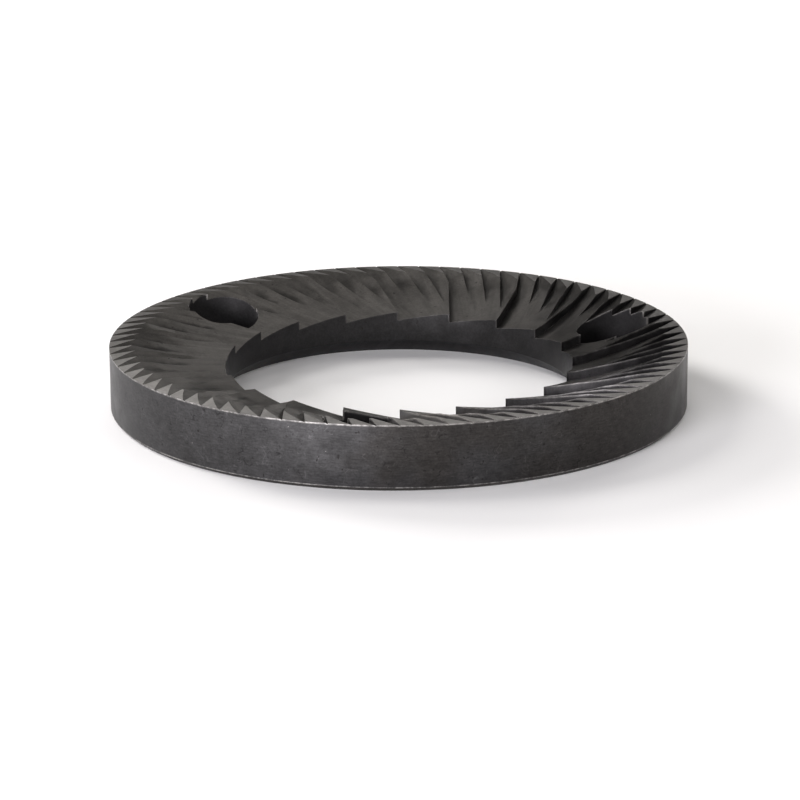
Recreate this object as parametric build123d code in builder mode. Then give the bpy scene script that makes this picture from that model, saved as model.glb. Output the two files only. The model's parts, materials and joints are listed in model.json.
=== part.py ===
"""Flat coffee grinder burr: one ring of hardened steel with ground teeth on its upper face.

Millimetres, +Z up. The origin is the centre of the flat back, and the teeth face +Z.
Each groove is cut by a slice of a grinding wheel. The flat side of the wheel leaves the steep step
of a tooth, and its conical side leaves the sloping floor in front of that step. The foot of a step
is straight in plan, and passes the ring's axis at the offset given for its kind of tooth.
"""
import os
from math import acos, asin, cos, degrees, radians, sin, sqrt, tan

from build123d import *

# Ring
outer_diameter = 64.0
bore_diameter = 38.6
ring_height = 7.2
back_edge_chamfer = 0.4
bore_relief_width = 1.8
bore_relief_height = 1.6

# Breaker teeth: long steps that run out from the bore and crack the beans
breaker_count = 20
breaker_offset = 5.8
breaker_bore_depth = 3.2
breaker_rise_angle = 8.5
breaker_floor_angle = 13.9
breaker_wheel_radius = 45.0
first_breaker_angle = 90.2

# Cutting teeth: fine steps that run in from the rim and set the grind
teeth_per_breaker = 4
cutting_offset = 11.3
cutting_rim_depth = 0.1
cutting_rise_angle = 14.8
cutting_floor_angle = 25.0
cutting_wheel_radius = 50.0
meeting_diameter = 54.0

# Screw holes, sunk from the toothed face
screw_count = 3
screw_circle_diameter = 51.8
first_screw_angle = 21.0
screw_hole_diameter = 4.5
screw_pocket_diameter = 8.0
screw_seat_thickness = 3.0

# Distance by which a grinding wheel runs past the surfaces that it opens
run_out = 1.0

outer_radius = outer_diameter / 2
bore_radius = bore_diameter / 2
meeting_radius = meeting_diameter / 2
cutting_count = breaker_count * teeth_per_breaker


def reach(offset, radius):
    """Distance along a line, from its point nearest the axis at the given offset, out to a radius."""
    return sqrt(radius**2 - offset**2)


def turn(offset, radius):
    """Angle about the axis, in degrees, that the same stretch of the line covers."""
    return degrees(acos(offset / radius))


def pitch(radius, count):
    """Straight distance from one tooth of a pattern to the next."""
    return 2 * radius * sin(radians(180 / count))


def grinding_wheel(offset, foot_radius, foot_height, rise_angle, floor_angle, wheel_radius, width):
    """Slice of the wheel that cuts one groove on the +X side of the line x = offset.

    The foot of the step is at foot_height where the line reaches foot_radius, and rises outwards there.
    """
    centre_reach = reach(offset, foot_radius) - wheel_radius * sin(radians(rise_angle))
    centre_height = foot_height + wheel_radius * cos(radians(rise_angle))
    top_radius = centre_height - ring_height - run_out
    floor_radius = wheel_radius - width * tan(radians(floor_angle))
    inner_reach = reach(offset + width, bore_radius) - run_out
    outer_reach = reach(offset, outer_radius) + run_out
    start_angle = degrees(asin((inner_reach - centre_reach) / wheel_radius))
    end_angle = degrees(asin((outer_reach - centre_reach) / top_radius))

    centre = (offset, centre_reach, centre_height)
    axle = Axis(centre, (1, 0, 0))
    side = Plane(centre, x_dir=(1, 0, 0), z_dir=(0, -1, 0)).rotated((start_angle, 0, 0))
    with BuildPart() as wheel:
        with BuildSketch(side):
            with BuildLine():
                Polyline(
                    (0, -wheel_radius),
                    (width, -floor_radius),
                    (width, -top_radius),
                    (0, -top_radius),
                    close=True,
                )
            make_face()
        revolve(axis=axle, revolution_arc=end_angle - start_angle)
    return wheel.part


breaker_wheel = grinding_wheel(
    breaker_offset,
    bore_radius,
    ring_height - breaker_bore_depth,
    breaker_rise_angle,
    breaker_floor_angle,
    breaker_wheel_radius,
    pitch(meeting_radius, breaker_count),
)
cutting_wheel = grinding_wheel(
    cutting_offset,
    outer_radius,
    ring_height - cutting_rim_depth,
    cutting_rise_angle,
    cutting_floor_angle,
    cutting_wheel_radius,
    pitch(outer_radius, cutting_count),
)

# Every fourth cutting step continues a breaker step, so the two lines cross at the meeting radius
breaker_start = first_breaker_angle - turn(breaker_offset, bore_radius)
cutting_start = breaker_start + turn(breaker_offset, meeting_radius) - turn(cutting_offset, meeting_radius)

with BuildPart() as burr:
    with BuildSketch(Plane.XZ):
        with BuildLine():
            Polyline(
                (bore_radius + bore_relief_width, 0),
                (outer_radius - back_edge_chamfer, 0),
                (outer_radius, back_edge_chamfer),
                (outer_radius, ring_height),
                (bore_radius, ring_height),
                (bore_radius, bore_relief_height),
                close=True,
            )
        make_face()
    revolve(axis=Axis.Z)

    with PolarLocations(0, breaker_count, start_angle=breaker_start):
        add(breaker_wheel, mode=Mode.SUBTRACT)
    with PolarLocations(0, cutting_count, start_angle=cutting_start):
        add(cutting_wheel, mode=Mode.SUBTRACT)

    with Locations((0, 0, ring_height)):
        with PolarLocations(screw_circle_diameter / 2, screw_count, start_angle=first_screw_angle):
            CounterBoreHole(
                radius=screw_hole_diameter / 2,
                counter_bore_radius=screw_pocket_diameter / 2,
                counter_bore_depth=ring_height - screw_seat_thickness,
            )

burr.part.label = "burr"
os.makedirs("parts", exist_ok=True)
export_step(burr.part, "parts/burr.step")
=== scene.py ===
"""Studio picture of a flat coffee grinder burr, laid out as a Blender add-on.

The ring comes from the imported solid. Its edges are rounded as grinding and use leave them, and its dark
steel carries the marks of how each surface was made: turned walls, ground grooves and lapped tooth tops.
"""
import json
from itertools import combinations
from math import radians, tau

import bmesh
import bpy
from bpy.props import FloatProperty, FloatVectorProperty, PointerProperty
from bpy.types import NodeSocket, Operator, Panel, PropertyGroup
from mathutils import Matrix, Vector

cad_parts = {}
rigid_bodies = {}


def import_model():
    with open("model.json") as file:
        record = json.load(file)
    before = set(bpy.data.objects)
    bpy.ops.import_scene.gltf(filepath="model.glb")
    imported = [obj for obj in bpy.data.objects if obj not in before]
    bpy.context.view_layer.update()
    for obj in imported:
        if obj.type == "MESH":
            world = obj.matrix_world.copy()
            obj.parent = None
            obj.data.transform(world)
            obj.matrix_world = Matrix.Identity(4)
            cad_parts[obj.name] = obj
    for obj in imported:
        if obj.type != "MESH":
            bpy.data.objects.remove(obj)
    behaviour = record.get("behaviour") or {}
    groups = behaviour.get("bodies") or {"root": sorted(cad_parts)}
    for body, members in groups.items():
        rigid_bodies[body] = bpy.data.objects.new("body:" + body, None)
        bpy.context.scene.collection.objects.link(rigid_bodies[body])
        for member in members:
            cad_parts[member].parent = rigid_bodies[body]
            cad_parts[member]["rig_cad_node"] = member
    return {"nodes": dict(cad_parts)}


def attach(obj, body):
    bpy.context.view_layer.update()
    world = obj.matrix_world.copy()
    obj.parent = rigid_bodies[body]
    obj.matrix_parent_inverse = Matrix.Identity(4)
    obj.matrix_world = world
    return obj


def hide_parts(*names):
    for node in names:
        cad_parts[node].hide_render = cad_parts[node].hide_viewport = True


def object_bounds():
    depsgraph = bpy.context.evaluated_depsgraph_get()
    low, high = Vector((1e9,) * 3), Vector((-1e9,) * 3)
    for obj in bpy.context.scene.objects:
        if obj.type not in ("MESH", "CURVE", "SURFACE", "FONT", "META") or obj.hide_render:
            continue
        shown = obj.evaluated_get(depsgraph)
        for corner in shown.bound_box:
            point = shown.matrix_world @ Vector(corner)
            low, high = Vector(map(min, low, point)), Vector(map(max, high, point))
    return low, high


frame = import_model()
cad_low, cad_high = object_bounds()

bl_info = {
    "name": "Coffee Grinder Burr",
    "version": (1, 0, 0),
    "blender": (4, 5, 0),
    "location": "View3D > Sidebar > Burr",
    "description": "Dresses a flat grinder burr in worn steel and sets it in a studio",
    "category": "Object",
}

MILLIMETRE = 0.001
RING_NODE = "burr"
SCREW_COUNT = 3

# Strips of faces along a rounded edge, and rays that look for corners and edges
EDGE_SEGMENTS = 2
CORNER_RAYS = 6

# Sockets of the Mix node that carry colours
MIX_FIRST = 6
MIX_SECOND = 7
MIX_RESULT = 2

# Upward part of a face's normal at which a kind of surface begins, and at which it is sure
UPRIGHT_FACING = (0.5, 0.25)
LEVEL_FACING = (0.97, 0.995)

# Distance from a wall, or below the tooth tops, at which that surface begins, and at which it is sure
RIM_BAND = (0.5 * MILLIMETRE, 0.3 * MILLIMETRE)
BORE_BAND = (0.3 * MILLIMETRE, 0.1 * MILLIMETRE)
POCKET_BAND = (0.2 * MILLIMETRE, 0.1 * MILLIMETRE)
TOP_BAND = (0.03 * MILLIMETRE, 0.01 * MILLIMETRE)
RELIEF_EDGE = 0.1 * MILLIMETRE

# Distance from the bore, below the rim and above the back at which wear begins, and at which it is full
WORN_FROM_BORE = (0.3 * MILLIMETRE, 1.2 * MILLIMETRE)
WORN_RIM = (0.22 * MILLIMETRE, 0.06 * MILLIMETRE)
WORN_FOOT = (0.55 * MILLIMETRE, 0.42 * MILLIMETRE)

# Size of the patches in which the painted light and shade of one side are uneven, and how far they reach
SIDE_PATCH_SIZE = 3 * MILLIMETRE
SIDE_PATCH_REACH = 6 * MILLIMETRE

# Level of a pattern, or openness of a corner, at which a mark begins, and at which it is full
CLOUD = (0.3, 0.7)
WIDE_CLOUD = (0.25, 0.75)
PAPER_CLOUD = (0.2, 0.8)
BROWNED_AND_SHADED_PATCH = (0.42, 0.72)
PITTED_PATCH = (0.42, 0.6)
WORN_PATCH = (0.4, 0.65)
PIT = (0.645, 0.72)
NICK = (0.81, 0.86)
SCUFF_LINE = (0.014, 0.004)
SCUFF_STROKE = (0.52, 0.62)
SHADED_CORNER = (0.8, 0.3)
WORN_EDGE = (0.85, 0.35)

ring_radius = cad_high.x
ring_height = cad_high.z


class RingSettings(PropertyGroup):
    """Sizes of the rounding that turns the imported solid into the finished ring."""

    merge_distance: FloatProperty(
        name="Merge distance",
        description="Corners of the solid that lie closer than this become one",
        default=0.025 * MILLIMETRE,
        unit="LENGTH",
    )
    flat_angle: FloatProperty(
        name="Flat angle",
        description="Neighbouring faces that turn by less than this become one face",
        default=radians(0.3),
        subtype="ANGLE",
    )
    edge_angle: FloatProperty(
        name="Edge angle",
        description="Edges that turn by more than this are rounded",
        default=radians(30),
        subtype="ANGLE",
    )
    edge_width: FloatProperty(
        name="Edge width",
        description="How far the rounding reaches onto the faces beside an edge",
        default=0.015 * MILLIMETRE,
        unit="LENGTH",
    )
    point_angle: FloatProperty(
        name="Point angle",
        description="Edges that close in on each other at less than this stay sharp",
        default=radians(30),
        subtype="ANGLE",
    )
    point_length: FloatProperty(
        name="Point length",
        description="Edges beside such a point that are shorter than this stay sharp as well",
        default=0.2 * MILLIMETRE,
        unit="LENGTH",
    )
    smooth_angle: FloatProperty(
        name="Smooth angle",
        description="Faces that meet at less than this are shaded as one curve",
        default=radians(15),
        subtype="ANGLE",
    )


class SteelSettings(PropertyGroup):
    """Colours and marks of the hardened steel."""

    ground_colour: FloatVectorProperty(
        name="Ground colour",
        description="Steel of the groove floors and the back, which a wheel has ground",
        default=(0.0712, 0.0674, 0.0636),
        subtype="COLOR",
    )
    steep_colour: FloatVectorProperty(
        name="Steep colour",
        description="Steel of the upright steps and the screw holes",
        default=(0.0875, 0.0847, 0.0865),
        subtype="COLOR",
    )
    # The bore is painted this dark as shade
    bore_shade_colour: FloatVectorProperty(
        name="Bore colour",
        description="Stained steel of the bore, which carries the beans",
        default=(0.0352, 0.0342, 0.0350),
        subtype="COLOR",
    )
    # The outer wall is browned in patches, and painted darker as shade towards its right side
    browned_and_shaded_colour: FloatVectorProperty(
        name="Browned colour",
        description="Outer wall where heat and oil have browned it, in patches and most on one side",
        default=(0.0480, 0.0447, 0.0430),
        subtype="COLOR",
    )
    turned_colour: FloatVectorProperty(
        name="Turned colour",
        description="Steel of the outer wall, which a lathe has turned",
        default=(0.0605, 0.0592, 0.0605),
        subtype="COLOR",
    )
    lapped_colour: FloatVectorProperty(
        name="Lapped colour",
        description="Bright steel of the flat tooth tops",
        default=(0.45, 0.436, 0.424),
        subtype="COLOR",
    )
    worn_colour: FloatVectorProperty(
        name="Worn colour",
        description="Bare steel where edges have rubbed",
        default=(0.55, 0.53, 0.51),
        subtype="COLOR",
    )
    # Dark colour of the pits, and of the shade painted into corners
    pit_stain_and_corner_shade_colour: FloatVectorProperty(
        name="Stain colour",
        description="Dark film of oil and coffee that gathers in corners",
        default=(0.027, 0.0255, 0.025),
        subtype="COLOR",
    )
    roughness: FloatProperty(
        name="Roughness",
        description="How matt the steel is before its marks change it",
        default=0.38,
        subtype="FACTOR",
    )
    lapped_roughness: FloatProperty(
        name="Lapped roughness",
        description="How matt the flat tooth tops are",
        default=0.36,
        subtype="FACTOR",
    )
    pocket_roughness: FloatProperty(
        name="Pocket roughness",
        description="How matt the walls of the screw pockets are",
        default=0.75,
        subtype="FACTOR",
    )
    grazing: FloatProperty(
        name="Grazing",
        description="Share of light that the steel reflects when it is seen almost edge on",
        default=0.8,
        subtype="FACTOR",
    )
    groove_offset: FloatProperty(
        name="Groove offset",
        description="Distance from the ring's axis at which the grinding lines would pass it",
        default=9 * MILLIMETRE,
        unit="LENGTH",
    )
    cutting_offset: FloatProperty(
        name="Cutting offset",
        description="Distance from the ring's axis at which the line of a cutting step would pass it",
        default=11.3 * MILLIMETRE,
        unit="LENGTH",
    )
    cutting_pitch: FloatProperty(
        name="Cutting pitch",
        description="Angle about the axis from one cutting step to the next",
        default=radians(4.5),
        subtype="ANGLE",
    )
    first_cutting_angle: FloatProperty(
        name="First cutting angle",
        description="Angle about the axis at which the pattern of cutting steps starts",
        default=radians(3.02),
        subtype="ANGLE",
    )
    screw_circle_radius: FloatProperty(
        name="Screw circle radius",
        description="Distance of the screw holes from the ring's axis",
        default=25.9 * MILLIMETRE,
        unit="LENGTH",
    )
    first_screw_angle: FloatProperty(
        name="First screw angle",
        description="Angle about the axis at which the first screw hole lies",
        default=radians(21),
        subtype="ANGLE",
    )
    pocket_radius: FloatProperty(
        name="Pocket radius",
        description="Radius of the pockets that take the screws' heads",
        default=4 * MILLIMETRE,
        unit="LENGTH",
    )
    bore_radius: FloatProperty(
        name="Bore radius",
        description="Radius of the hole in the middle of the ring",
        default=19.3 * MILLIMETRE,
        unit="LENGTH",
    )
    relief_width: FloatProperty(
        name="Relief width",
        description="Width of the relief round the bore's back edge",
        default=1.8 * MILLIMETRE,
        unit="LENGTH",
    )
    # The tooth tops are left brightest at this angle as a painted highlight
    highlight_angle: FloatProperty(
        name="Bright angle",
        description="Angle about the axis at which the tooth tops are brightest",
        default=radians(215),
        subtype="ANGLE",
    )
    wear_reach: FloatProperty(
        name="Wear reach",
        description="How far from an edge the steel is rubbed bare",
        default=0.26 * MILLIMETRE,
        unit="LENGTH",
    )
    # How far the shade painted into corners reaches
    corner_shade_reach: FloatProperty(
        name="Stain reach",
        description="How far from a corner the dark film spreads",
        default=0.9 * MILLIMETRE,
        unit="LENGTH",
    )


class StageSettings(PropertyGroup):
    """Floor, lights and camera of the studio."""

    floor_colour: FloatVectorProperty(
        name="Floor colour",
        description="Pale paper that the ring lies on",
        default=(0.95, 0.95, 0.95),
        subtype="COLOR",
    )
    floor_size: FloatProperty(
        name="Floor size",
        description="Length of each side of the floor",
        default=200 * ring_radius,
        unit="LENGTH",
    )
    room_strength: FloatProperty(
        name="Room strength",
        description="Brightness of the light that comes from all round",
        default=0.02,
    )
    front_left_power: FloatProperty(
        name="Front left power",
        description="Power of the soft low light in front and to the left, which rakes across the teeth",
        default=6.9,
        unit="POWER",
    )
    front_power: FloatProperty(
        name="Front power",
        description="Power of the soft higher light in front",
        default=1.2,
        unit="POWER",
    )
    left_power: FloatProperty(
        name="Left power",
        description="Power of the soft low light at the left",
        default=1.9,
        unit="POWER",
    )
    back_left_power: FloatProperty(
        name="Back left power",
        description="Power of the soft light behind and to the left",
        default=4.0,
        unit="POWER",
    )
    back_right_power: FloatProperty(
        name="Back right power",
        description="Power of the soft low light behind and to the right",
        default=2.1,
        unit="POWER",
    )
    high_left_power: FloatProperty(
        name="High left power",
        description="Power of the soft high light behind and to the left, which keeps the shadow short",
        default=1.5,
        unit="POWER",
    )
    right_power: FloatProperty(
        name="Right power",
        description="Power of the soft light at the right, which reaches into the steps at the back",
        default=1.0,
        unit="POWER",
    )
    front_right_power: FloatProperty(
        name="Front right power",
        description="Power of the faint wide light in front and to the right",
        default=0.7,
        unit="POWER",
    )
    backdrop_power: FloatProperty(
        name="Backdrop power",
        description="Power of the soft wide light behind, which the tooth tops reflect",
        default=0.51,
        unit="POWER",
    )
    overhead_power: FloatProperty(
        name="Overhead power",
        description="Power of the soft light overhead",
        default=0.45,
        unit="POWER",
    )
    front_colour: FloatVectorProperty(
        name="Front colour",
        description="Slightly cool colour of the light in front",
        default=(0.98, 0.96, 1.0),
        subtype="COLOR",
    )
    back_colour: FloatVectorProperty(
        name="Back colour",
        description="Slightly warm colour of the other lights",
        default=(1.0, 0.975, 0.95),
        subtype="COLOR",
    )
    light_distance: FloatProperty(
        name="Light distance",
        description="Distance of every light from the ring",
        default=700 * MILLIMETRE,
        unit="LENGTH",
    )
    camera_distance: FloatProperty(
        name="Camera distance",
        description="Distance of the camera from the middle of the ring's back",
        default=410.85 * MILLIMETRE,
        unit="LENGTH",
    )
    camera_elevation: FloatProperty(
        name="Camera elevation",
        description="Angle of the camera above the floor",
        default=radians(16.882),
        subtype="ANGLE",
    )
    camera_aim: FloatVectorProperty(
        name="Camera aim",
        description="Point that lies in the middle of the picture",
        default=(0.12 * MILLIMETRE, 0.0, 0.21 * MILLIMETRE),
        subtype="TRANSLATION",
        unit="LENGTH",
    )
    camera_roll: FloatProperty(
        name="Camera roll",
        description="Tilt of the camera about its line of sight",
        default=radians(-0.34),
        subtype="ANGLE",
    )
    camera_lens: FloatProperty(
        name="Camera lens",
        description="Focal length of the camera in millimetres",
        default=165.94,
    )


class MaterialNodes:
    """Adds nodes to one material, and links or sets what goes into them."""

    def __init__(self, material):
        self.tree = material.node_tree
        self.tree.nodes.clear()

    def add(self, kind, inputs, **settings):
        """Adds a node with its settings, and feeds its inputs by their names or numbers."""
        node = self.tree.nodes.new("ShaderNode" + kind)
        for name, value in settings.items():
            setattr(node, name, value)
        for name, value in inputs.items():
            self.feed(node.inputs[name], value)
        return node

    def feed(self, socket, value):
        """Links another node's output to a socket, or sets the socket to a plain value."""
        if isinstance(value, NodeSocket):
            self.tree.links.new(value, socket)
        else:
            socket.default_value = value

    def math(self, operation, *values):
        inputs = dict(enumerate(values))
        return self.add("Math", inputs, operation=operation).outputs["Value"]

    def product(self, first, *others):
        for value in others:
            first = self.math("MULTIPLY", first, value)
        return first

    def vector(self, operation, *values):
        inputs = dict(enumerate(values))
        node = self.add("VectorMath", inputs, operation=operation)
        return node.outputs["Value" if operation == "LENGTH" else "Vector"]

    def scaled(self, vector, factor):
        inputs = {"Vector": vector, "Scale": factor}
        return self.add("VectorMath", inputs, operation="SCALE").outputs["Vector"]

    def split(self, vector):
        node = self.add("SeparateXYZ", {"Vector": vector})
        return node.outputs["X"], node.outputs["Y"], node.outputs["Z"]

    def joined(self, x, y, z):
        return self.add("CombineXYZ", {"X": x, "Y": y, "Z": z}).outputs["Vector"]

    def ramp(self, value, low, high, start=0.0, end=1.0):
        """Runs smoothly from start at low to end at high, and stays there outside."""
        inputs = {"Value": value, "From Min": low, "From Max": high, "To Min": start, "To Max": end}
        return self.add("MapRange", inputs, interpolation_type="SMOOTHSTEP").outputs["Result"]

    def noise(self, vector, size, detail=2.0, roughness=0.5):
        """Cloudy pattern from 0 to 1 whose spots are about as large as size."""
        inputs = {"Vector": vector, "Scale": 1 / size, "Detail": detail, "Roughness": roughness}
        return self.add("TexNoise", inputs).outputs["Fac"]

    def uneven(self, value, place, size, amount):
        """Value that patches of the given size raise by up to the amount."""
        return self.math("MULTIPLY_ADD", self.noise(place, size), amount, value)

    def blended(self, share, first, second):
        """Colour that goes from the first to the second as the share goes from 0 to 1."""
        inputs = {"Factor": share, MIX_FIRST: first, MIX_SECOND: second}
        return self.add("Mix", inputs, data_type="RGBA").outputs[MIX_RESULT]


def opaque(colour):
    """Colour with the fourth number that a colour socket takes."""
    return (*colour, 1.0)


class RingSurface:
    """Where a point lies on the ring, and how far it belongs to each kind of surface."""

    def __init__(self, nodes, settings):
        coordinates = nodes.add("TexCoord", {})
        self.place = coordinates.outputs["Object"]
        self.x, self.y, self.z = nodes.split(self.place)
        self.radius = nodes.vector("LENGTH", nodes.joined(self.x, self.y, 0.0))
        self.turn = nodes.math("ARCTAN2", self.y, self.x)
        self.from_bore = nodes.math("SUBTRACT", self.radius, settings.bore_radius)
        self.below_top = nodes.math("SUBTRACT", ring_height, self.z)
        facing = nodes.split(coordinates.outputs["Normal"])[2]

        self.upright = nodes.ramp(nodes.math("ABSOLUTE", facing), *UPRIGHT_FACING)
        self.sloping = nodes.math("SUBTRACT", 1.0, self.upright)
        from_rim = nodes.math("SUBTRACT", ring_radius, self.radius)
        self.turned = nodes.product(self.upright, nodes.ramp(from_rim, *RIM_BAND))
        # Where the bore is painted dark as shade: its wall, and the relief at its back edge
        at_bore = nodes.product(self.upright, nodes.ramp(self.from_bore, *BORE_BAND))
        relief = settings.relief_width
        at_relief = nodes.product(
            nodes.ramp(self.from_bore, relief, relief - RELIEF_EDGE),
            nodes.ramp(self.z, relief, relief - RELIEF_EDGE),
        )
        self.bore_shaded = nodes.math("MAXIMUM", at_bore, at_relief)
        on_top = nodes.ramp(self.below_top, *TOP_BAND)
        self.lapped = nodes.product(nodes.ramp(facing, *LEVEL_FACING), on_top)
        self.floors = nodes.math("SUBTRACT", self.sloping, self.lapped)
        self.pockets = nodes.product(self.upright, self.inside_pockets(nodes, settings))

    def inside_pockets(self, nodes, settings):
        """1 inside the nearest screw pocket and on its wall, and 0 outside."""
        half_share = tau / SCREW_COUNT / 2
        turn = nodes.math("SUBTRACT", self.turn, settings.first_screw_angle)
        turn = nodes.math("WRAP", turn, half_share, -half_share)
        out = nodes.product(self.radius, nodes.math("COSINE", turn))
        out = nodes.math("SUBTRACT", out, settings.screw_circle_radius)
        aside = nodes.product(self.radius, nodes.math("SINE", turn))
        away = nodes.vector("LENGTH", nodes.joined(out, aside, 0.0))
        return nodes.ramp(nodes.math("SUBTRACT", away, settings.pocket_radius), *POCKET_BAND)


def groove_lines(nodes, surface, offset):
    """Coordinates across and along the grooves, whose lines all touch one circle about the axis."""
    true_width_radius = 25 * MILLIMETRE
    x, y, radius = surface.x, surface.y, surface.radius
    square = nodes.product(radius, radius)
    reach = nodes.math("SQRT", nodes.math("SUBTRACT", square, offset**2))
    along = nodes.scaled(nodes.joined(x, y, 0.0), offset)
    across = nodes.scaled(nodes.joined(y, nodes.product(x, -1.0), 0.0), reach)
    turn = nodes.vector("ADD", along, across)
    turn = nodes.scaled(turn, nodes.math("DIVIDE", true_width_radius, square))
    turn_x, turn_y, _ = nodes.split(turn)
    return nodes.joined(turn_x, turn_y, radius)


def lathe_lines(nodes, surface, shortening):
    """Coordinates in which a pattern is drawn out round the ring, as a lathe and handling leave it."""
    return nodes.vector("MULTIPLY", surface.place, (shortening, shortening, 1.0))


class SteelPatterns:
    """Lines, clouds and spots from which the marks on the steel are made."""

    def __init__(self, nodes, surface, settings):
        place = surface.place
        grooves = groove_lines(nodes, surface, settings.groove_offset)

        # Coordinates in which a pattern is drawn out along the path of the tool
        long_grooves = nodes.vector("MULTIPLY", grooves, (1, 1, 0.05))
        short_grooves = nodes.vector("MULTIPLY", grooves, (1, 1, 0.22))
        long_turns = lathe_lines(nodes, surface, 0.02)
        short_turns = lathe_lines(nodes, surface, 0.2)
        lapping_strokes = nodes.vector("MULTIPLY", place, (0.2, 1, 1))

        self.ground_lines = nodes.noise(long_grooves, size=0.3 * MILLIMETRE, detail=3.0, roughness=0.6)
        self.streaks = nodes.noise(short_grooves, size=1.1 * MILLIMETRE)
        self.turned_lines = nodes.noise(long_turns, size=0.14 * MILLIMETRE, detail=3.0, roughness=0.6)
        self.dashes = nodes.noise(short_turns, size=0.17 * MILLIMETRE, detail=3.0, roughness=0.6)
        self.lapping = nodes.noise(lapping_strokes, size=0.2 * MILLIMETRE, detail=3.0, roughness=0.7)
        self.mottle = nodes.noise(place, size=3.2 * MILLIMETRE, detail=5.0, roughness=0.62)
        self.blotch = nodes.noise(place, size=0.9 * MILLIMETRE, detail=3.0, roughness=0.6)
        self.speckle = nodes.noise(place, size=0.22 * MILLIMETRE, roughness=0.6)
        self.pits = nodes.product(
            nodes.ramp(nodes.noise(place, size=0.5 * MILLIMETRE), *PIT),
            nodes.ramp(self.mottle, *PITTED_PATCH, 0.15, 0.9),
            nodes.math("SUBTRACT", 1.0, surface.lapped),
        )
        nicks = nodes.ramp(nodes.noise(place, size=0.24 * MILLIMETRE, detail=1.0), *NICK)
        self.nicks = nodes.product(nicks, surface.turned)


def shade_at_step_feet(nodes, surface, settings):
    """Painted shade at the foot of each cutting step, where the shallow cutting grooves run out."""
    lean = nodes.math("ARCCOSINE", nodes.math("DIVIDE", settings.cutting_offset, surface.radius))
    turn = nodes.math("SUBTRACT", surface.turn, lean)
    turn = nodes.math("SUBTRACT", turn, settings.first_cutting_angle)
    step = nodes.math("FRACT", nodes.math("DIVIDE", turn, settings.cutting_pitch))

    # From an uneven start the painted shade widens outwards. Widths are shares of the way to the next
    # step
    first_start, last_start = 15.5 * MILLIMETRE, 23 * MILLIMETRE
    widest_radius, widest = 30 * MILLIMETRE, 0.8
    soft_edge, soft_foot = 0.35, 0.15
    start = nodes.noise(surface.place, size=2.6 * MILLIMETRE)
    start = nodes.ramp(start, *CLOUD, first_start, last_start)
    width = nodes.ramp(surface.radius, start, widest_radius, 0.0, widest)
    step_shade = nodes.ramp(nodes.math("ADD", step, width), 1.0, 1.0 + soft_edge)
    foot = nodes.ramp(step, 1.0, 1.0 - soft_foot)

    # It thins out towards the rim, and away from one side of the ring
    thick_radius, thin_radius, rim_share = 26.5 * MILLIMETRE, 29.5 * MILLIMETRE, 0.2
    thick_side, thin_side, side_share = -20 * MILLIMETRE, -8 * MILLIMETRE, 0.45
    to_rim = nodes.ramp(surface.radius, thick_radius, thin_radius, 1.0, rim_share)
    to_side = nodes.ramp(surface.x, thick_side, thin_side, 1.0, side_share)
    return nodes.product(step_shade, foot, to_rim, to_side, surface.floors)


def shaded_side_floors(nodes, surface):
    """Groove floors on one side of the ring, painted darker as shade."""
    begins, full = 18 * MILLIMETRE, 24 * MILLIMETRE
    side = nodes.uneven(surface.x, surface.place, size=4 * MILLIMETRE, amount=8 * MILLIMETRE)
    return nodes.product(nodes.ramp(side, begins, full), surface.floors)


def shaded_pockets(nodes, surface):
    """Walls of the screw pockets, painted darker as shade, most on the same side."""
    begins, full = -10 * MILLIMETRE, 10 * MILLIMETRE
    least = 0.63
    return nodes.product(nodes.ramp(surface.x, begins, full, least, 1.0), surface.pockets)


def away_from_lit_side(nodes, surface):
    """Uneven coordinate that grows towards the back of the ring, away from the lit front."""
    lean = 0.35
    side = nodes.math("MULTIPLY_ADD", surface.x, lean, surface.y)
    return nodes.uneven(side, surface.place, SIDE_PATCH_SIZE, SIDE_PATCH_REACH)


def tops_shaded_beside_highlight(nodes, surface, settings):
    """Tooth tops painted darker as shade except along one stretch, which is left as a painted highlight.
    """
    from_rim = 1 * MILLIMETRE
    highlight_spot = Vector((ring_radius - from_rim, 0.0, ring_height))
    highlight_spot = Matrix.Rotation(settings.highlight_angle, 3, "Z") @ highlight_spot
    away = nodes.vector("LENGTH", nodes.vector("SUBTRACT", surface.place, highlight_spot))
    away = nodes.uneven(away, surface.place, SIDE_PATCH_SIZE, SIDE_PATCH_REACH)

    # Painted darker to a share beside the highlighted stretch, and all over on the far side of the ring
    begins_beside, full_beside, share_beside = 7 * MILLIMETRE, 23 * MILLIMETRE, 0.62
    begins_behind, full_behind = -27 * MILLIMETRE, 19 * MILLIMETRE
    beside = nodes.ramp(away, begins_beside, full_beside, 0.0, share_beside)
    behind = nodes.ramp(away_from_lit_side(nodes, surface), begins_behind, full_behind)
    return nodes.product(nodes.math("MAXIMUM", beside, behind), surface.lapped)


def lit_side_floors(nodes, surface):
    """Groove floors painted lighter towards the lit front of the ring."""
    begins, full = -9 * MILLIMETRE, -23 * MILLIMETRE
    return nodes.product(nodes.ramp(away_from_lit_side(nodes, surface), begins, full), surface.floors)


def scuffs(nodes, surface, level):
    """Thin wandering scratches on the outer wall, broken into short strokes."""
    lines = nodes.noise(surface.place, size=2 * MILLIMETRE)
    lines = nodes.ramp(nodes.math("ABSOLUTE", nodes.math("SUBTRACT", lines, level)), *SCUFF_LINE)
    strokes = nodes.noise(surface.place, size=1.2 * MILLIMETRE, detail=3.0, roughness=0.6)
    return nodes.product(lines, nodes.ramp(strokes, *SCUFF_STROKE), surface.turned)


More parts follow.
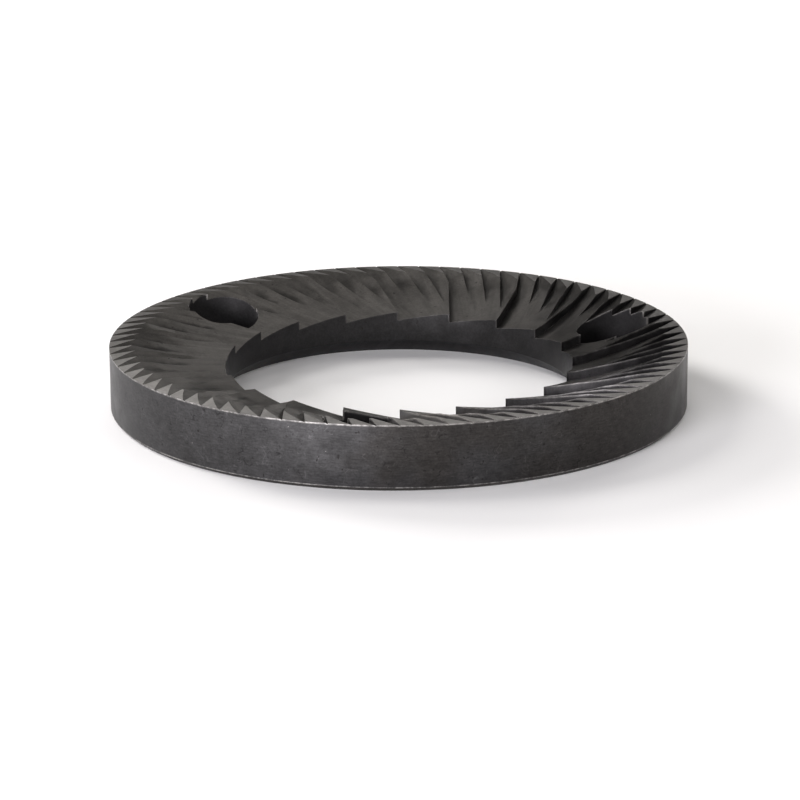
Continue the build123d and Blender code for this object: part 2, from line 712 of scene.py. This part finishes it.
def rubbed_edges(nodes, surface, settings):
    """Edges that stand out, and the rim and foot of the outer wall, rubbed bare in patches."""
    patches = nodes.noise(surface.place, size=0.8 * MILLIMETRE, detail=4.0, roughness=0.7)
    reach = {"Distance": settings.wear_reach}
    inner = nodes.add("AmbientOcclusion", reach, inside=True, samples=CORNER_RAYS)
    edges = nodes.product(
        nodes.ramp(inner.outputs["AO"], *WORN_EDGE),
        nodes.ramp(patches, *WORN_PATCH, 0.5, 1.0),
        nodes.ramp(surface.from_bore, *WORN_FROM_BORE, 0.15, 1.0),
    )
    rim = nodes.ramp(surface.below_top, *WORN_RIM)
    foot = nodes.ramp(surface.z, *WORN_FOOT)
    wall = nodes.product(
        nodes.math("MAXIMUM", foot, rim),
        nodes.ramp(patches, *WORN_PATCH, 0.2, 1.0),
        surface.turned,
    )
    return nodes.product(nodes.math("MAXIMUM", edges, wall), surface.upright)


def base_colour(nodes, surface, settings):
    """Colour of each kind of surface before its marks, with painted shade in the bore and on one side of
    the outer wall.
    """
    colour = nodes.blended(surface.upright, opaque(settings.ground_colour), opaque(settings.steep_colour))
    # Painted shade: the bore and the relief at its back edge are darkened
    colour = nodes.blended(surface.bore_shaded, colour, opaque(settings.bore_shade_colour))
    # Browned in patches, and painted darker as shade towards the right side
    shade_towards_right = 0.25 / ring_radius
    clouds = nodes.noise(surface.place, size=9 * MILLIMETRE, detail=3.0)
    browned_and_shaded = nodes.math("MULTIPLY_ADD", surface.x, shade_towards_right, clouds)
    browned_and_shaded = nodes.ramp(browned_and_shaded, *BROWNED_AND_SHADED_PATCH)
    wall = nodes.blended(browned_and_shaded, opaque(settings.turned_colour), opaque(settings.browned_and_shaded_colour))
    colour = nodes.blended(surface.turned, colour, wall)
    return nodes.blended(surface.lapped, colour, opaque(settings.lapped_colour))


def uneven_tone(nodes, surface, patterns, settings):
    """Factor by which clouds, spots, tool lines, scuffs, painted shade and painted light lighten or
    darken the steel.
    """
    tone = nodes.product(
        nodes.ramp(patterns.mottle, *CLOUD, 0.92, 1.08),
        nodes.ramp(patterns.blotch, *WIDE_CLOUD, 0.9, 1.1),
        nodes.ramp(patterns.speckle, *WIDE_CLOUD, 0.88, 1.12),
    )
    for pattern, where, depth in (
        (patterns.ground_lines, surface.sloping, 0.45),
        (patterns.streaks, surface.floors, 0.9),
        (patterns.dashes, surface.turned, 0.9),
        (patterns.lapping, surface.lapped, 0.45),
    ):
        streak = nodes.product(nodes.math("SUBTRACT", pattern, 0.5), where)
        tone = nodes.product(tone, nodes.math("MULTIPLY_ADD", streak, depth, 1.0))
    for mark, depth in (
        # Painted shade at the foot of each cutting step
        (shade_at_step_feet(nodes, surface, settings), -0.7),
        # Painted shade on the groove floors of one side
        (shaded_side_floors(nodes, surface), -0.42),
        # Painted shade on the walls of the screw pockets
        (shaded_pockets(nodes, surface), -0.68),
        # Painted shade on the tooth tops outside a painted highlight
        (tops_shaded_beside_highlight(nodes, surface, settings), -0.58),
        # Painted light on the groove floors of the lit front
        (lit_side_floors(nodes, surface), 0.32),
        (scuffs(nodes, surface, level=0.46), 0.45),
        (scuffs(nodes, surface, level=0.55), -0.35),
    ):
        tone = nodes.product(tone, nodes.math("MULTIPLY_ADD", mark, depth, 1.0))
    return tone


def shaded_stained_and_worn(nodes, surface, patterns, settings, colour):
    """Colour with painted shade in its corners, dark stain in its pits, and bare steel on its edges and
    in its nicks.
    """
    open_air = nodes.add("AmbientOcclusion", {"Distance": settings.corner_shade_reach}, samples=CORNER_RAYS)
    thinnest, thickest, most_bare = 0.2, 0.5, 0.8
    # Painted shade: corners and the feet of walls are darkened by how enclosed they are
    corner_shade = nodes.ramp(open_air.outputs["AO"], *SHADED_CORNER)
    corner_shade = nodes.product(corner_shade, nodes.ramp(patterns.blotch, *CLOUD, thinnest, thickest))
    pit_stain_and_corner_shade = nodes.math("MAXIMUM", corner_shade, patterns.pits)
    colour = nodes.blended(pit_stain_and_corner_shade, colour, opaque(settings.pit_stain_and_corner_shade_colour))
    bare = nodes.math("MAXIMUM", patterns.nicks, rubbed_edges(nodes, surface, settings))
    return nodes.blended(nodes.product(bare, most_bare), colour, opaque(settings.worn_colour))


def steel_roughness(nodes, surface, patterns, settings):
    """How matt each kind of surface is, with clouds and blotches."""
    steel, lapped, pocket = settings.roughness, settings.lapped_roughness, settings.pocket_roughness
    rough = nodes.ramp(patterns.mottle, *CLOUD, steel - 0.05, steel + 0.07)
    lapped_rough = nodes.ramp(patterns.blotch, *CLOUD, lapped - 0.01, lapped + 0.02)
    change = nodes.product(nodes.math("SUBTRACT", lapped_rough, rough), surface.lapped)
    rough = nodes.math("ADD", rough, change)
    return nodes.math("MULTIPLY_ADD", surface.pockets, pocket - steel, rough)


def steel_relief(nodes, surface, patterns):
    """Fine tool lines, grain and pits, which turn the light a little."""
    grain_share, pit_depth, lapped_share = 0.5, 2.0, 0.15
    relief = nodes.product(patterns.speckle, grain_share)
    for pattern, share in (
        (patterns.ground_lines, surface.sloping),
        (patterns.turned_lines, surface.turned),
        (patterns.pits, -pit_depth),
    ):
        relief = nodes.math("MULTIPLY_ADD", pattern, share, relief)
    relief = nodes.product(relief, nodes.ramp(surface.lapped, 0.0, 1.0, 1.0, lapped_share))
    bump = nodes.add("Bump", {"Height": relief, "Strength": 0.2, "Distance": 0.02 * MILLIMETRE})
    return bump.outputs["Normal"]


def steel_material(settings):
    """Dark hardened steel, with marks that follow how each surface was cut, and with painted shade and
    highlights.
    """
    material = bpy.data.materials.new("worn_burr_steel")
    material.use_nodes = True
    nodes = MaterialNodes(material)
    surface = RingSurface(nodes, settings)
    patterns = SteelPatterns(nodes, surface, settings)
    colour = base_colour(nodes, surface, settings)
    colour = nodes.scaled(colour, uneven_tone(nodes, surface, patterns, settings))
    shader = nodes.add(
        "BsdfPrincipled",
        {
            "Base Color": shaded_stained_and_worn(nodes, surface, patterns, settings, colour),
            "Metallic": 1.0,
            "Roughness": steel_roughness(nodes, surface, patterns, settings),
            "Specular Tint": opaque([settings.grazing] * 3),
            "Normal": steel_relief(nodes, surface, patterns),
        },
    )
    nodes.add("OutputMaterial", {"Surface": shader.outputs["BSDF"]})
    return material


def paper_material(settings):
    """Matt paper of the floor, with a faint unevenness."""
    material = bpy.data.materials.new("studio_paper")
    material.use_nodes = True
    nodes = MaterialNodes(material)
    place = nodes.add("TexCoord", {}).outputs["Object"]
    cloud = nodes.noise(place, size=40 * MILLIMETRE, detail=3.0)
    darkest = 0.985
    tone = nodes.ramp(cloud, *PAPER_CLOUD, darkest, 1.0)
    shader = nodes.add("BsdfDiffuse", {"Color": nodes.scaled(settings.floor_colour, tone)})
    nodes.add("OutputMaterial", {"Surface": shader.outputs["BSDF"]})
    return material


def only(piece):
    """Makes one object the only one that is selected, and the active one."""
    bpy.ops.object.select_all(action="DESELECT")
    piece.select_set(True)
    bpy.context.view_layer.objects.active = piece


def leave_run_outs(ring, settings):
    """Deselects the edges that close in on each other where a step runs out on the face."""
    mesh = bmesh.from_edit_mesh(ring.data)
    closing = set()
    for corner in mesh.verts:
        chosen = [edge for edge in corner.link_edges if edge.select]
        for first, second in combinations(chosen, 2):
            along = [edge.other_vert(corner).co - corner.co for edge in (first, second)]
            if along[0].angle(along[1]) < settings.point_angle:
                closing |= {first, second}
    for corner in {corner for edge in closing for corner in edge.verts}:
        closing |= {edge for edge in corner.link_edges if edge.calc_length() < settings.point_length}
    for edge in closing:
        edge.select_set(False)
    bmesh.update_edit_mesh(ring.data)


class BURR_OT_make_ring(Operator):
    """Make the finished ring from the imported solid, with rounded edges and worn steel"""

    bl_idname = "burr.make_ring"
    bl_label = "Make Ring"
    bl_options = {"REGISTER", "UNDO"}

    def execute(self, context):
        settings = context.scene.burr_ring
        only(frame["nodes"][RING_NODE])
        bpy.ops.object.duplicate()
        ring = context.active_object
        ring.name = "toothed_ring"
        ring.parent = None
        del ring["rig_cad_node"]

        bpy.ops.mesh.customdata_custom_splitnormals_clear()
        bpy.ops.object.mode_set(mode="EDIT")
        bpy.ops.mesh.select_mode(type="EDGE")
        bpy.ops.mesh.select_all(action="SELECT")
        bpy.ops.mesh.remove_doubles(threshold=settings.merge_distance)
        bpy.ops.mesh.dissolve_limited(angle_limit=settings.flat_angle)
        bpy.ops.mesh.select_all(action="DESELECT")
        bpy.ops.mesh.edges_select_sharp(sharpness=settings.edge_angle)
        leave_run_outs(ring, settings)
        bpy.ops.mesh.bevel(
            offset=settings.edge_width, segments=EDGE_SEGMENTS, clamp_overlap=False, loop_slide=False
        )
        bpy.ops.object.mode_set(mode="OBJECT")
        bpy.ops.object.shade_smooth_by_angle(angle=settings.smooth_angle)

        ring.data.materials.clear()
        ring.data.materials.append(steel_material(context.scene.burr_steel))
        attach(ring, "root")
        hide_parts(RING_NODE)
        return {"FINISHED"}


class BURR_OT_make_stage(Operator):
    """Make the pale floor, the soft lights and the camera"""

    bl_idname = "burr.make_stage"
    bl_label = "Make Stage"
    bl_options = {"REGISTER", "UNDO"}

    def execute(self, context):
        settings = context.scene.burr_stage
        bpy.ops.object.select_all(action="DESELECT")
        bpy.ops.mesh.primitive_plane_add(size=settings.floor_size)
        floor = context.active_object
        floor.name = "studio_floor"
        floor.data.materials.append(paper_material(settings))

        cool, warm = settings.front_colour, settings.back_colour
        for name, azimuth, elevation, sizes, power, colour in (
            ("front_left_light", 238, 9, (340, 260), settings.front_left_power, cool),
            ("front_light", 262, 28, (300, 300), settings.front_power, cool),
            ("left_light", 182, 10, (280, 260), settings.left_power, cool),
            ("back_left_light", 135, 20, (260, 220), settings.back_left_power, warm),
            ("back_right_light", 63, 10, (240, 220), settings.back_right_power, warm),
            ("high_left_light", 150, 43, (300, 300), settings.high_left_power, warm),
            ("right_light", 15, 28, (300, 300), settings.right_power, warm),
            ("front_right_light", 315, 20, (420, 300), settings.front_right_power, warm),
            ("backdrop_light", 88, 36, (500, 300), settings.backdrop_power, warm),
            ("overhead_light", 90, 66, (300, 300), settings.overhead_power, warm),
        ):
            self.soft_light(settings, name, azimuth, elevation, sizes, power, colour)
        self.room_light(context, settings.room_strength)
        self.camera(context, settings)
        context.scene.view_settings.view_transform = "Standard"
        return {"FINISHED"}

    def soft_light(self, settings, name, azimuth, elevation, sizes, power, colour):
        """Adds a soft box that faces the ring from a direction given in degrees."""
        turn = Matrix.Rotation(radians(azimuth), 4, "Z") @ Matrix.Rotation(radians(-elevation), 4, "Y")
        place = settings.light_distance * (turn @ Vector((1, 0, 0)))
        bpy.ops.object.light_add(type="AREA", location=place)
        light = bpy.context.active_object
        light.name = name
        light.rotation_euler = (-place).to_track_quat("-Z", "Y").to_euler()
        light.visible_camera = False
        light.data.shape = "ELLIPSE"
        light.data.size = sizes[0] * MILLIMETRE
        light.data.size_y = sizes[1] * MILLIMETRE
        light.data.energy = power
        light.data.color = colour

    def room_light(self, context, strength):
        """Fills the room with faint light, and shows the camera a white room."""
        world = bpy.data.worlds.new("studio_room")
        world.use_nodes = True
        nodes = world.node_tree.nodes
        background = nodes["Background"]
        background.inputs["Color"].default_value = (1, 1, 1, 1)
        path = nodes.new("ShaderNodeLightPath")
        level = nodes.new("ShaderNodeMapRange")
        level.inputs["To Min"].default_value = strength
        world.node_tree.links.new(path.outputs["Is Camera Ray"], level.inputs["Value"])
        world.node_tree.links.new(level.outputs["Result"], background.inputs["Strength"])
        context.scene.world = world

    def camera(self, context, settings):
        """Adds the camera, a little above the floor in front of the ring."""
        back = Matrix.Rotation(-settings.camera_elevation, 4, "X") @ Vector((0, -1, 0))
        bpy.ops.object.camera_add(location=settings.camera_distance * back)
        camera = context.active_object
        camera.name = "studio_camera"
        sight = (settings.camera_aim - camera.location).to_track_quat("-Z", "Y").to_matrix().to_4x4()
        sight = sight @ Matrix.Rotation(settings.camera_roll, 4, "Z")
        camera.rotation_euler = sight.to_euler()
        camera.data.lens = settings.camera_lens
        context.scene.camera = camera


class BURR_PT_panel(Panel):
    """Lists the steps that make the burr and its studio."""

    bl_label = "Coffee Grinder Burr"
    bl_space_type = "VIEW_3D"
    bl_region_type = "UI"
    bl_category = "Burr"

    def draw(self, context):
        layout = self.layout
        scene = context.scene
        for operator, settings in (
            (BURR_OT_make_ring, (scene.burr_ring, scene.burr_steel)),
            (BURR_OT_make_stage, (scene.burr_stage,)),
        ):
            box = layout.box()
            box.operator(operator.bl_idname)
            for group in settings:
                for name in group.__annotations__:
                    box.prop(group, name)


CLASSES = (
    RingSettings,
    SteelSettings,
    StageSettings,
    BURR_OT_make_ring,
    BURR_OT_make_stage,
    BURR_PT_panel,
)


def register():
    """Adds the settings, the operators and the panel to Blender."""
    for item in CLASSES:
        bpy.utils.register_class(item)
    bpy.types.Scene.burr_ring = PointerProperty(type=RingSettings)
    bpy.types.Scene.burr_steel = PointerProperty(type=SteelSettings)
    bpy.types.Scene.burr_stage = PointerProperty(type=StageSettings)


def unregister():
    """Takes them out again."""
    del bpy.types.Scene.burr_ring
    del bpy.types.Scene.burr_steel
    del bpy.types.Scene.burr_stage
    for item in reversed(CLASSES):
        bpy.utils.unregister_class(item)


def main():
    """Makes the ring and its studio."""
    register()
    bpy.ops.burr.make_ring()
    bpy.ops.burr.make_stage()


if __name__ == "__main__":
    main()
